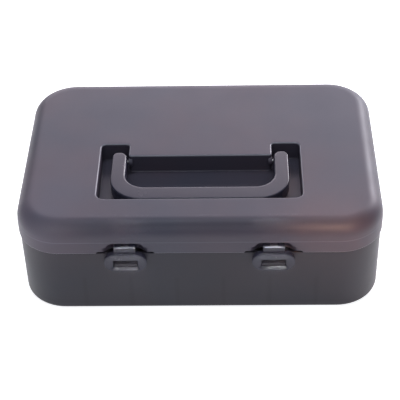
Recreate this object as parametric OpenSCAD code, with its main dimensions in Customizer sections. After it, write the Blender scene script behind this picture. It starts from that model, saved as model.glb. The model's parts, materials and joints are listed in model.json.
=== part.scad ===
// Flat moulded toolbox: a base and a lid joined by two rear hinges, a carrying handle that
// folds into the lid, two front latches, and a lift-out tray with loose dividers.
// Millimetres. X runs along the width, Y from front to back, Z up. The origin is the middle
// of the underside.

/* [Case] */
// Width of the lid, side to side
case_w = 290; // [280:5:330]
// Depth of the lid, front to back, without latches and hinges
case_d = 193; // [185:1:230]
// Height of the closed case
case_h = 88.5; // [86:0.5:110]
// Corner radius of the lid in plan
corner_r = 35.6; // [30:0.1:45]
// Radius of the lid's rounded top edge
top_edge_r = 13; // [8:0.5:14]
// Radius of the base's rounded bottom edge
foot_edge_r = 4.5; // [3:0.5:8]
// Height of the base's rim
rim_z = 61; // [58:0.5:62]
// Wall thickness of the base and the lid
wall = 2.4; // [2:0.1:3]
// How far the lid stands out past the base
overhang = 1; // [0.5:0.1:1.5]

/* [Handle] */
// Width of the handle recess
recess_w = 163; // [150:1:175]
// Depth of the recess, front edge to the back of its ears
recess_d = 69; // [66:1:72]
// Width of each ear of the recess
ear_w = 23; // [20:1:25]
// How far the ears reach behind the middle of the recess
ear_d = 15.6; // [14:0.2:18]
// How deep the recess is
recess_depth = 16.5; // [16:0.5:19]
// Outer width of the handle
handle_w = 143.4; // [135:0.2:146]
// Width of each handle arm
arm_w = 12; // [9:0.1:13]
// Front to back size of the grip bar
grip_w = 15; // [12:0.5:16]
// Thickness of the handle
handle_t = 12; // [10:0.5:13]

/* [Latches] */
// Distance of each latch from the middle of the case
latch_x = 57.8; // [50:0.1:65]
// Width of the latch plate
latch_w = 33.6; // [30:0.2:36]
// Height of the latch plate
latch_h = 18.3; // [17:0.1:20]
// Height of the middle of the latch plate
latch_z = 55.65; // [54:0.05:56]
// Width of the latch neck
neck_w = 16.7; // [14:0.1:20]
// Width of the window in the plate
window_w = 19.2; // [16:0.2:22]
// Height of the window in the plate
window_h = 6.7; // [5:0.1:8]
// Height of the middle of the window
window_z = 53.55; // [53:0.05:55.5]

/* [Hinges] */
// Distance of each hinge from the middle of the case
hinge_x = 60; // [45:1:80]
// Length of the lid's middle knuckle
knuckle_l = 12; // [8:1:20]
// Radius of the hinge knuckles
knuckle_r = 3; // [3:0.1:3.4]

/* [Tray] */
// Height of the ribs that carry the tray
shelf_z = 37; // [30:0.5:38]
// Height of the tray's walls
tray_h = 18; // [14:0.5:20]
// Wall thickness of the tray
tray_wall = 1.8; // [1.5:0.1:2.5]
// Place of the long wall inside the tray, front to back
partition_y = 12; // [0:1:25]
// Thickness of the loose dividers
divider_t = 1.6; // [1.2:0.1:2]

/* [Hidden] */
$fn = 96;

plastic = [0.29, 0.28, 0.31];
inner_plastic = [0.36, 0.35, 0.38];
steel = [0.72, 0.73, 0.75];

eps = 0.01;
fit_gap = 0.05;             // radial clearance of a pin that turns
over = 1;                   // how far a cut runs past a face

// Plan: every rounded outline shares the centres of its four corner arcs.
arc_x = case_w / 2 - corner_r;
arc_y = case_d / 2 - corner_r;

// Lid
lid_z = rim_z + 0.5;
band_h = 10.9;              // height of the lid's skirt band
band_step = 0.3;            // how far the band stands proud
top_z = case_h;

// Base
base_r = corner_r - overhang;
floor_t = 2.6;
tongue_t = 1.6;             // the rim's tongue that centres the lid
tongue_h = 3;
tongue_r = corner_r - band_step - wall - 0.3;

// Ribs inside the base: pairs that hold a divider and carry the tray
rib_pitch = 36.8;
rib_xs = [for (k = [-2.5:1:2.5]) k * rib_pitch];
rib_t = 1.2;
rib_d = 4.2;
slot_t = divider_t + 0.5;
side_rib_y = 30;

// Handle recess
recess_front = -63;
recess_back = recess_front + recess_d;
mid_back = recess_back - ear_d;
recess_z = top_z - recess_depth;
recess_wall = 2;
recess_r = 5;
ear_in = recess_w / 2 - ear_w;

// Handle
handle_top = top_z - 1;
pivot_y = -8.5;
pivot_z = handle_top - handle_t / 2;
grip_front = recess_front + 1.5;
arm_in = handle_w / 2 - arm_w;
bend_r = 25;                // outer and inner radius of the handle's corners
inner_bend_r = 16;
end_r = 5.5;                // rounding of the arms' ends in plan
edge_r = 1.5;               // rounding of the grip bar's front edges
pin_r = 1.5;
lug_w = 3.5;
lug_r = 3.6;
lug_x = ear_in - lug_w + 0.4;
handle_pin_l = 14;
pad_h = handle_top - handle_t - recess_z - 0.1;
pad = [12, 8];
pad_x = 36;

// Latches
latch_front = -case_d / 2 - 6;
latch_back = -case_d / 2 - 0.3;
neck_front = latch_front + 2;
axle_y = -case_d / 2 + 0.9;
axle_z = 66.8;
axle_r = 1;
barrel_r = 2.7;
neck_top = axle_z + 3.1;
neck_edge_r = 1.3;
funnel_side = 3;            // widths of the sloping faces round the window
funnel_up = 5.8;
funnel_down = 1.8;
funnel_d = 1.7;
slit_w = 44.6;              // where the lid's lower edge is raised
pocket_w = 35;              // the lid's latch pocket, at its mouth and at its back
pocket_back_w = 24;
pocket_d = 6.5;
pocket_r = 6;
pocket_top = lid_z + band_h;
slit_top = lid_z + 1.7;
latch_lug_w = 5;
latch_lug_r = 2;
notch_w = latch_lug_w + 0.6;
latch_pin_l = neck_w - 0.6;

// Hinges
hinge_y = case_d / 2 + 3;
hinge_z = rim_z + 0.25;
side_knuckle = 8;
knuckle_gap = 0.4;
hinge_pin_l = knuckle_l + 2 * (knuckle_gap + side_knuckle);

// Tray
tray_r = tongue_r - tongue_t - 1.1;
tray_z = shelf_z;
tray_top = tray_z + tray_h;
tray_foot_r = 3;
partition_t = 2;
tray_slots = [-110, -80, -50, 50, 80, 110];
divider_xs = [-80, -50, 50, 80];
tray_rib_d = 2;
grip_x = 38;
post_w = 8;
grip_top = tray_top + 7;
grip_bar = 8;

base_divider_x = 1.5 * rib_pitch;

// A solid or ring whose outline is the case's rounded rectangle. The child is its section,
// drawn outwards from the centre of a corner arc.
module round_plan() {
    for (k = [0:3]) {
        a = (k % 2 == 0) ? arc_x : arc_y;
        b = (k % 2 == 0) ? arc_y : arc_x;
        rotate([0, 0, 90 * k]) translate([a, b, 0]) {
            rotate([90, 0, 0]) linear_extrude(2 * b) children();
            rotate_extrude(angle = 90) children();
        }
    }
}

// A flat rectangle that fills round_plan() between its corner arcs.
module plan_core(z, h) {
    translate([-arc_x, -arc_y, z]) cube([2 * arc_x, 2 * arc_y, h]);
}

// Half a section: a block of width r from z0 to z1 with its outer top edge rounded.
module shoulder(r, z0, z1, edge) {
    translate([0, z0]) square([r, z1 - z0 - edge]);
    translate([0, z0]) square([r - edge, z1 - z0]);
    translate([r - edge, z1 - edge]) circle(edge);
}

// Half a section with its outer bottom edge rounded.
module foot(r, z0, z1, edge) {
    translate([0, z0 + z1]) mirror([0, 1]) shoulder(r, z0, z1, edge);
}

// A rectangle from one corner to the other, with rounded corners.
module round_rect(x0, y0, x1, y1, r) {
    translate([x0 + r, y0]) square([x1 - x0 - 2 * r, y1 - y0]);
    translate([x0, y0 + r]) square([x1 - x0, y1 - y0 - 2 * r]);
    for (x = [x0 + r, x1 - r], y = [y0 + r, y1 - r]) translate([x, y]) circle(r);
}

// Extrudes a section drawn in Y and Z along X, from x to x + l.
module along_x(x, l) {
    translate([x, 0, 0]) rotate([90, 0, 90]) linear_extrude(l) children();
}

// A round bar along X.
module rod(x, l, y, z, r) {
    translate([x, y, z]) rotate([0, 90, 0]) cylinder(h = l, r = r);
}

// A steel pin along X with chamfered ends.
module pin(x, l, y, z, r) {
    tip = 0.4;
    color(steel) translate([x, y, z]) rotate([0, 90, 0]) {
        cylinder(h = tip, r1 = r - tip, r2 = r);
        translate([0, 0, tip]) cylinder(h = l - 2 * tip, r = r);
        translate([0, 0, l - tip]) cylinder(h = tip, r1 = r, r2 = r - tip);
    }
}

// ---- base ----

module base_shell() {
    inner_r = base_r - wall;
    difference() {
        union() {
            round_plan() foot(base_r, 0, rim_z, foot_edge_r);
            plan_core(0, rim_z);
        }
        round_plan() foot(inner_r, floor_t, rim_z + over, foot_edge_r - wall);
        plan_core(floor_t, rim_z);
    }
}

// The tongue stops either side of the latch pockets.
module tongue() {
    difference() {
        round_plan() translate([tongue_r - tongue_t, rim_z - 4]) square([tongue_t, 4 + tongue_h]);
        for (s = [-1, 1]) translate([s * latch_x - slit_w / 2 - 3, -case_d / 2, rim_z])
            cube([slit_w + 6, 20, tongue_h + over]);
    }
}

module guide_ribs() {
    wall_y = arc_y + base_r - wall;
    wall_x = arc_x + base_r - wall;
    for (x = rib_xs, side = [-1, 1], s = [-1, 1])
        translate([x + side * (slot_t + rib_t) / 2 - rib_t / 2,
                   s > 0 ? wall_y - rib_d : -wall_y - eps, floor_t - eps])
            cube([rib_t, rib_d + eps, shelf_z - floor_t + eps]);
    for (y = [-side_rib_y, side_rib_y], s = [-1, 1])
        translate([s > 0 ? wall_x - rib_d : -wall_x - eps, y - rib_t / 2, floor_t - eps])
            cube([rib_d + eps, rib_t, shelf_z - floor_t + eps]);
}

// The tooth that the latch window snaps over.
module catch_tooth(x) {
    face = -case_d / 2 + overhang;
    low = window_z - window_h / 2 + 0.1;
    along_x(x - window_w / 2 + 0.6, window_w - 1.2)
        polygon([[face + 0.5, low], [face - 3.3, low], [face - 3.8, low + 0.5],
                 [face - 3.8, low + 2.2], [face - 1.2, low + 3.9], [face + 0.5, low + 4.4]]);
}

module base_knuckles(x) {
    wall_y = case_d / 2 - overhang - 0.5;
    for (s = [-1, 1]) {
        x0 = x + (s > 0 ? knuckle_l / 2 + knuckle_gap : -knuckle_l / 2 - knuckle_gap - side_knuckle);
        rod(x0, side_knuckle, hinge_y, hinge_z, knuckle_r);
        along_x(x0, side_knuckle)
            polygon([[wall_y, rim_z - 13], [hinge_y + 2.4, hinge_z - 1.8],
                     [hinge_y, rim_z], [wall_y, rim_z]]);
    }
}

module base() {
    color(plastic) difference() {
        union() {
            base_shell();
            tongue();
            guide_ribs();
            for (s = [-1, 1]) {
                catch_tooth(s * latch_x);
                base_knuckles(s * hinge_x);
            }
        }
        for (s = [-1, 1])
            rod(s * hinge_x - hinge_pin_l / 2 - over, hinge_pin_l + 2 * over, hinge_y, hinge_z, pin_r);
    }
}

// ---- lid ----

module lid_shell() {
    r = corner_r - band_step;
    difference() {
        union() {
            round_plan() {
                shoulder(r, lid_z, top_z, top_edge_r);
                translate([0, lid_z]) square([corner_r, band_h]);
            }
            plan_core(lid_z, top_z - lid_z);
        }
        round_plan() shoulder(r - wall, lid_z - over, top_z - wall, top_edge_r - wall);
        plan_core(lid_z - over, top_z - wall - lid_z + over);
    }
}

// Outline of the handle recess, grown by g.
module recess_outline(g) {
    r = recess_r + g;
    round_rect(-recess_w / 2 - g, recess_front - g, recess_w / 2 + g, mid_back + g, r);
    for (s = [-1, 1]) mirror([s < 0 ? 1 : 0, 0])
        round_rect(ear_in - g, recess_front - g, recess_w / 2 + g, recess_back + g,
                   recess_r - 2 + g);
}

// Plan of a latch pocket, grown by g.
module pocket_outline(g) {
    y = -case_d / 2;
    polygon([[-pocket_w / 2 - g, y - over], [pocket_w / 2 + g, y - over],
             [pocket_w / 2 + g, y], [pocket_back_w / 2 + g, y + pocket_d + g],
             [-pocket_back_w / 2 - g, y + pocket_d + g], [-pocket_w / 2 - g, y]]);
}

// The box behind a latch pocket, cut flush with the skirt's face.
module pocket_box(x) {
    intersection() {
        translate([x, 0, lid_z]) linear_extrude(pocket_top + wall - lid_z) pocket_outline(wall);
        translate([-case_w / 2, -case_d / 2, 0]) cube([case_w, case_d, case_h]);
    }
}

module pocket_cut(x) {
    intersection() {
        translate([x, 0, lid_z - over]) linear_extrude(pocket_top - lid_z + 2 * over)
            pocket_outline(0);
        translate([x, -case_d / 2 + pocket_d + over, 0]) rotate([90, 0, 0])
            linear_extrude(pocket_d + 3 * over)
                round_rect(-pocket_w / 2 - eps, lid_z - 2 * pocket_r, pocket_w / 2 + eps,
                           pocket_top, pocket_r);
    }
    translate([x - slit_w / 2, -case_d / 2 - over, lid_z - over])
        cube([slit_w, pocket_d + over, slit_top - lid_z + over]);
}

// The lug at the back of a pocket that holds the latch's pin, hidden behind the neck.
module latch_lug(x) {
    back = -case_d / 2 + pocket_d + 0.5;
    rod(x - latch_lug_w / 2, latch_lug_w, axle_y, axle_z, latch_lug_r);
    translate([x - latch_lug_w / 2, axle_y, axle_z - latch_lug_r])
        cube([latch_lug_w, back - axle_y, 2 * latch_lug_r]);
}

// Bosses for the handle's pins, in the corners between the recess's middle and its ears.
module handle_lugs() {
    for (s = [-1, 1]) mirror([s < 0 ? 1 : 0, 0, 0])
        rod(lug_x, lug_w, pivot_y, pivot_z, lug_r);
}

module handle_pads() {
    for (s = [-1, 1])
        translate([s * pad_x - pad[0] / 2, grip_front + (grip_w - pad[1]) / 2, recess_z - eps])
            cube([pad[0], pad[1], pad_h + eps]);
}

module lid_knuckle(x) {
    wall_y = case_d / 2 - 0.5;
    rod(x - knuckle_l / 2, knuckle_l, hinge_y, hinge_z, knuckle_r);
    along_x(x - knuckle_l / 2, knuckle_l)
        polygon([[wall_y, lid_z], [hinge_y, lid_z], [hinge_y + 2.4, hinge_z + 1.8],
                 [wall_y, lid_z + 11]]);
}

// Room in the lid's rear wall for the base's knuckles.
module knuckle_room(x) {
    for (s = [-1, 1]) {
        x0 = x + (s > 0 ? knuckle_l / 2 : -knuckle_l / 2 - side_knuckle - 2 * knuckle_gap);
        rod(x0, side_knuckle + 2 * knuckle_gap, hinge_y, hinge_z, knuckle_r + 0.4);
    }
}

module lid() {
    color(plastic) difference() {
        union() {
            difference() {
                union() {
                    lid_shell();
                    translate([0, 0, recess_z - recess_wall])
                        linear_extrude(top_z - wall / 2 - recess_z + recess_wall)
                            recess_outline(recess_wall);
                    for (s = [-1, 1]) pocket_box(s * latch_x);
                }
                translate([0, 0, recess_z]) linear_extrude(recess_depth + over) recess_outline(0);
                for (s = [-1, 1]) {
                    pocket_cut(s * latch_x);
                    knuckle_room(s * hinge_x);
                }
            }
            handle_lugs();
            handle_pads();
            for (s = [-1, 1]) {
                latch_lug(s * latch_x);
                lid_knuckle(s * hinge_x);
            }
        }
        for (s = [-1, 1]) {
            rod(s * hinge_x - knuckle_l / 2 - over, knuckle_l + 2 * over, hinge_y, hinge_z,
                pin_r + fit_gap);
            rod(s * latch_x - latch_pin_l / 2, latch_pin_l, axle_y, axle_z, axle_r);
            rod(s > 0 ? lug_x - over : -lug_x - lug_w - over, lug_w + 2 * over, pivot_y, pivot_z,
                pin_r);
        }
    }
}

// ---- handle ----

// Plan of the handle: a bar with an arm at each end.
module handle_outline() {
    straight = grip_front + grip_w + inner_bend_r + 1;
    difference() {
        round_rect(-handle_w / 2, grip_front, handle_w / 2, straight + bend_r + 10, bend_r);
        round_rect(-arm_in, grip_front + grip_w, arm_in, straight + bend_r + 40, inner_bend_r);
        translate([-handle_w, straight]) square([2 * handle_w, 100]);
    }
    for (s = [-1, 1]) mirror([s < 0 ? 1 : 0, 0])
        round_rect(arm_in, straight - end_r - 1, handle_w / 2, pivot_y + handle_t / 2 - 0.4, end_r);
}

// Side view of the handle: straight on top, with a rounded underside below the pivot so
// that it clears the recess when it stands up, and rounded edges at both ends.
module handle_side() {
    half = handle_t / 2;
    end_y = pivot_y + half - 0.5;
    translate([pivot_y, pivot_z]) circle(half - 0.5);
    translate([pivot_y - 8, pivot_z]) square([end_y - pivot_y + 8, half - edge_r]);
    translate([pivot_y - 8, pivot_z]) square([end_y - pivot_y + 8 - edge_r, half]);
    translate([end_y - edge_r, pivot_z + half - edge_r]) circle(edge_r);
    translate([grip_front + edge_r, pivot_z - half])
        square([pivot_y - 8 - grip_front - edge_r, handle_t]);
    translate([grip_front, pivot_z - half + edge_r])
        square([edge_r + eps, handle_t - 2 * edge_r]);
    for (s = [-1, 1])
        translate([grip_front + edge_r, pivot_z + s * (half - edge_r)]) circle(edge_r);
    polygon([[pivot_y - 8 - eps, pivot_z - half], [pivot_y, pivot_z - half + 0.5],
             [pivot_y, pivot_z + 1], [pivot_y - 8 - eps, pivot_z + 1]]);
}

module handle() {
    color(plastic) difference() {
        intersection() {
            translate([0, 0, pivot_z - handle_t / 2 - over]) linear_extrude(handle_t + 2 * over)
                handle_outline();
            along_x(-handle_w / 2 - over, handle_w + 2 * over) handle_side();
        }
        for (s = [-1, 1])
            rod(s > 0 ? lug_x : -lug_x - handle_pin_l - 0.4, handle_pin_l + 0.4, pivot_y, pivot_z,
                pin_r + fit_gap);
    }
}

module handle_pin(s) {
    pin(s > 0 ? lug_x : -lug_x - handle_pin_l, handle_pin_l, pivot_y, pivot_z, pin_r);
}

// ---- latches ----

module latch_plate() {
    round_rect(-latch_w / 2, latch_z - latch_h / 2, latch_w / 2, latch_z + latch_h / 2,
               latch_h / 2 - eps);
}

// Section of the neck and its barrel, in Y and Z.
module neck_section() {
    translate([axle_y, axle_z]) circle(barrel_r);
    translate([neck_front, latch_z]) square([latch_back - neck_front, neck_top - latch_z - neck_edge_r]);
    translate([neck_front + neck_edge_r, axle_z - barrel_r])
        square([axle_y - neck_front - neck_edge_r, neck_top - axle_z + barrel_r]);
    translate([neck_front + neck_edge_r, neck_top - neck_edge_r]) circle(neck_edge_r);
}

// The four sloping faces that lead into the window.
module funnel_cut() {
    y0 = latch_front;
    low = window_z - window_h / 2;
    high = window_z + window_h / 2;
    intersection() {
        along_x(-latch_w, 2 * latch_w)
            polygon([[y0 - over, low - funnel_down], [y0, low - funnel_down],
                     [y0 + funnel_d, low], [y0 + funnel_d, high],
                     [y0, high + funnel_up], [y0 - over, high + funnel_up]]);
        translate([0, 0, latch_z - latch_h]) linear_extrude(2 * latch_h)
            polygon([[-window_w / 2 - funnel_side, y0 - over], [window_w / 2 + funnel_side, y0 - over],
                     [window_w / 2 + funnel_side, y0], [window_w / 2, y0 + funnel_d],
                     [-window_w / 2, y0 + funnel_d], [-window_w / 2 - funnel_side, y0]]);
    }
}

// The slot in the neck's back and top for the lid's lug, so only its front wall runs across.
module neck_notch() {
    translate([-notch_w / 2, latch_front + 4.1, axle_z - latch_lug_r - 0.6])
        cube([notch_w, 20, 20]);
}

module latch(s) {
    color(plastic) translate([s * latch_x, 0, 0]) difference() {
        union() {
            translate([0, latch_back, 0]) rotate([90, 0, 0])
                linear_extrude(latch_back - latch_front) latch_plate();
            along_x(-neck_w / 2, neck_w) neck_section();
        }
        translate([-window_w / 2, latch_front - over, window_z - window_h / 2])
            cube([window_w, latch_back - latch_front + 2 * over, window_h]);
        funnel_cut();
        neck_notch();
        rod(-neck_w / 2 - over, neck_w + 2 * over, axle_y, axle_z, axle_r + fit_gap);
    }
}

module latch_pin(s) {
    pin(s * latch_x - latch_pin_l / 2, latch_pin_l, axle_y, axle_z, axle_r);
}

// ---- hinge pins ----

module hinge_pin(s) {
    pin(s * hinge_x - hinge_pin_l / 2, hinge_pin_l, hinge_y, hinge_z, pin_r);
}

// ---- tray ----

module tray_shell() {
    inner_r = tray_r - tray_wall;
    difference() {
        union() {
            round_plan() foot(tray_r, tray_z, tray_top, tray_foot_r);
            plan_core(tray_z, tray_h);
        }
        round_plan() foot(inner_r, tray_z + tray_wall, tray_top + over, tray_foot_r - tray_wall);
        plan_core(tray_z + tray_wall, tray_h);
    }
}

// The long wall, with a raised grip and a finger gap in its middle.
module tray_partition() {
    half_x = arc_x + tray_r - tray_wall / 2;
    translate([-half_x, partition_y - partition_t / 2, tray_z + eps])
        cube([2 * half_x, partition_t, tray_h - 1]);
    for (s = [-1, 1])
        translate([s * (grip_x - post_w / 2) - post_w / 2, partition_y - grip_bar / 2 + 1,
                   tray_z + eps])
            cube([post_w, grip_bar - 2, grip_top - tray_z - grip_bar / 2]);
    rod(-grip_x, 2 * grip_x, partition_y, grip_top - grip_bar / 2, grip_bar / 2);
}

module tray_ribs() {
    back_y = arc_y + tray_r - tray_wall;
    front_y = partition_y + partition_t / 2;
    for (x = tray_slots, side = [-1, 1]) {
        x0 = x + side * (slot_t + rib_t) / 2 - rib_t / 2;
        translate([x0, front_y - eps, tray_z + 1]) cube([rib_t, tray_rib_d, tray_h - 3]);
        translate([x0, back_y - tray_rib_d, tray_z + 1]) cube([rib_t, tray_rib_d + eps, tray_h - 3]);
    }
}

module tray() {
    finger_h = tray_h + 2;
    color(inner_plastic) difference() {
        union() {
            tray_shell();
            tray_partition();
            tray_ribs();
        }
        translate([-grip_x + post_w, partition_y - partition_t, tray_z + 5])
            cube([2 * (grip_x - post_w), 2 * partition_t, grip_top - grip_bar - tray_z - 5]);
    }
}

// A loose plate with a thumb notch in its top edge.
module divider(x, y0, y1, z0, z1, notch) {
    translate([x - divider_t / 2, 0, 0]) rotate([90, 0, 90]) linear_extrude(divider_t)
        difference() {
            round_rect(y0, z0, y1, z1, 1.5);
            translate([(y0 + y1) / 2, z1]) circle(notch);
        }
}

module tray_divider(n) {
    color(inner_plastic) divider(divider_xs[n - 1], partition_y + partition_t / 2 + 0.3,
        arc_y + tray_r - tray_wall - 0.3, tray_z + tray_wall + 0.1, tray_top - 1.5, 7);
}

module base_divider(s) {
    half_y = arc_y + base_r - wall - 0.4;
    color(inner_plastic) divider(s * base_divider_x, -half_y, half_y, floor_t + 0.1,
        shelf_z - 0.4, 10);
}

base();
lid();
handle();
handle_pin(-1);  // handle_pin_left
handle_pin(1);  // handle_pin_right
latch(-1);  // latch_left
latch(1);  // latch_right
latch_pin(-1);  // latch_pin_left
latch_pin(1);  // latch_pin_right
hinge_pin(-1);  // hinge_pin_left
hinge_pin(1);  // hinge_pin_right
tray();
tray_divider(1);  // tray_divider_1
tray_divider(2);  // tray_divider_2
tray_divider(3);  // tray_divider_3
tray_divider(4);  // tray_divider_4
base_divider(-1);  // base_divider_left
base_divider(1);  // base_divider_right
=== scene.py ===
import json
import math

import bmesh
import bpy
from mathutils import Matrix, Vector, geometry


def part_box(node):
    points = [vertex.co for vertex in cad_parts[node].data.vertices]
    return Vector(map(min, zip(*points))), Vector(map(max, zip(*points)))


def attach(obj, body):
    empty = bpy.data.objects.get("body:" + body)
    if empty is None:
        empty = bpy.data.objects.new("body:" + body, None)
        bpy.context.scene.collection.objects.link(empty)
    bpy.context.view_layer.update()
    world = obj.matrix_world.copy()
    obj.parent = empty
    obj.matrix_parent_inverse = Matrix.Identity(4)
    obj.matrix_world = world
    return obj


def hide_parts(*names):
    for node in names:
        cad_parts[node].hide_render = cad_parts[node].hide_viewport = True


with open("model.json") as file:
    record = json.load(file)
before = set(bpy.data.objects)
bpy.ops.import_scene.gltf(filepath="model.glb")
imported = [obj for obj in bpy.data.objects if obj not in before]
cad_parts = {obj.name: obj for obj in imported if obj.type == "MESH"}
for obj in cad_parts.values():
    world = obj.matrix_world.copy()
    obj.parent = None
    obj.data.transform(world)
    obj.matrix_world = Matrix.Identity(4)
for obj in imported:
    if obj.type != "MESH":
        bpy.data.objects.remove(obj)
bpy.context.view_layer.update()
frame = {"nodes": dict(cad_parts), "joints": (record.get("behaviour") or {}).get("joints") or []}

# Lengths are in millimetres until a Shape becomes an object. X runs along the width, Y from
# the latches to the hinges, Z up, as in the frame.
MM = 0.001
GUARD = 2.0        # width of a strip beside a rounding that keeps the flat's shading flat


# ---------------------------------------------------------------- sizes, from the frame

def corners(node):
    """Lowest and highest corner of a CAD node, in millimetres."""
    low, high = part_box(node)
    return low / MM, high / MM


def pivot(joint):
    """A joint's place, in millimetres."""
    found = next(j for j in frame["joints"] if j["name"] == joint)
    return Vector(found["pos_m"]) / MM


LID_LOW, LID_HIGH = corners("lid")
BASE_HIGH = corners("base")[1]
HANDLE_LOW, HANDLE_HIGH = corners("handle")
LATCH_LOW, LATCH_HIGH = corners("latch_right")
TRAY_LOW, TRAY_HIGH = corners("tray")
HINGE = pivot("lid_hinge")
HANDLE_PIVOT = pivot("handle_pivot")
LATCH_PIVOT = pivot("latch_right_pivot")

CORNER_R = 35.6                      # lid corners in plan
FRONT = LID_LOW.y                    # the lid's front face
TOP = LID_HIGH.z
ARC_X = LID_HIGH.x - CORNER_R        # centres of the corner arcs
ARC_Y = -FRONT - CORNER_R
WALL = 2.4
BAND_STEP = 0.3                      # how far the skirt band stands proud
RIM_Z = HINGE.z - 0.25               # the base's rim
LID_Z = RIM_Z + 0.5                  # the lid's lower edge
TOP_EDGE_R = 13.0
BASE_R = BASE_HIGH.x - ARC_X
FLOOR = 2.6

GRIP_W, ARM_W = 15.0, 12.0

# the handle recess: corners anticlockwise, with the radius of each
RECESS_X, EAR_X = 81.5, 58.5
RECESS_FRONT = HANDLE_LOW.y - 1.5
RECESS_BACK, MID_BACK = RECESS_FRONT + 69.0, RECESS_FRONT + 53.4
RECESS_Z = TOP - 16.5
RECESS_POINTS = [(-RECESS_X, RECESS_FRONT), (RECESS_X, RECESS_FRONT), (RECESS_X, RECESS_BACK),
                 (EAR_X, RECESS_BACK), (EAR_X, MID_BACK), (-EAR_X, MID_BACK),
                 (-EAR_X, RECESS_BACK), (-RECESS_X, RECESS_BACK)]
RECESS_RADII = [6.5, 6.5, 4, 3, 2.4, 2.4, 3, 4]

LATCH_X = (LATCH_LOW.x + LATCH_HIGH.x) / 2
WINDOW_Z = LATCH_LOW.z + 7.05        # middle of the window in the latch's plate
WINDOW_HALF_W, WINDOW_HALF_H = 9.6, 3.35
PLATE_H = 18.3                       # height of a latch's plate, below its neck
NECK_W = 16.7
POCKET_HALF = 18.5                   # the latch pocket at its mouth
POCKET_BACK_HALF = 9.5
POCKET_DEPTH = 6.5
POCKET_ARCH_R = 6.0
SLIT_HALF, SLIT_RISE = 22.3, 1.7     # where the lid's lower edge is raised, and how far
POCKET_TOP = LID_Z + 10.7
LEDGE_Z = POCKET_TOP + 0.55          # middle of the step between the band and the wall above

HINGE_X = 60.0
KNUCKLE_R = BASE_HIGH.y - HINGE.y
LID_KNUCKLE = 12.0                   # lengths along the hinge pin
BASE_KNUCKLE = 8.0
KNUCKLE_GAP = 0.4

RIB_PITCH = 36.8
RIB_TOP = TRAY_LOW.z
SIDE_RIB_Y = 30.0
SLOT = 2.1


# ---------------------------------------------------------------- outlines

def mix(a, b, t):
    """The number a share t of the way from a to b."""
    return a + (b - a) * t


def ease(t):
    """A share from 0 to 1 that starts and ends gently."""
    t = min(max(t, 0.0), 1.0)
    return t * t * (3 - 2 * t)


def spread(a, b, n):
    """n + 1 numbers from a to b."""
    return [mix(a, b, k / n) for k in range(n + 1)]


def arc(u, v, r, start, end, n):
    """Points on an arc round (u, v), from one angle to the other in degrees."""
    return [(u + r * math.cos(math.radians(a)), v + r * math.sin(math.radians(a)))
            for a in spread(start, end, n)]


def filleted(points, radii, grow=0.0, n=6):
    """A closed outline with rounded corners, offset outwards by grow.

    points run anticlockwise. Every offset of one outline has the same number of points, so
    that two of them can be joined by a strip of faces.
    """
    outline = []
    count = len(points)
    for k, here in enumerate(points):
        p, q, s = Vector(points[k - 1]), Vector(here), Vector(points[(k + 1) % count])
        a, b = (q - p).normalized(), (s - q).normalized()
        turn = math.atan2(a.x * b.y - a.y * b.x, a.dot(b))
        side = 1 if turn > 0 else -1
        r = radii[k]
        back = abs(r * math.tan(turn / 2))
        normal = Vector((-a.y, a.x)) * side
        centre = q - a * back + normal * r
        first = math.degrees(math.atan2(-normal.y, -normal.x))
        outline += arc(centre.x, centre.y, max(r + side * grow, 0.02), first,
                       first + math.degrees(turn), n)
    return outline


def rectangle(u0, u1, v0, v1):
    return [(u0, v0), (u1, v0), (u1, v1), (u0, v1)]


def inset(points, d):
    """A closed anticlockwise outline moved inwards by d."""
    moved = []
    count = len(points)
    for k, here in enumerate(points):
        p, q, s = Vector(points[k - 1]), Vector(here), Vector(points[(k + 1) % count])
        a, b = (q - p).normalized(), (s - q).normalized()
        na, nb = Vector((-a.y, a.x)), Vector((-b.y, b.x))
        m = na + nb
        m = m / max(m.dot(na), 0.35)
        moved.append((q.x + m.x * d, q.y + m.y * d))
    return moved


# ---------------------------------------------------------------- meshes

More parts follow.
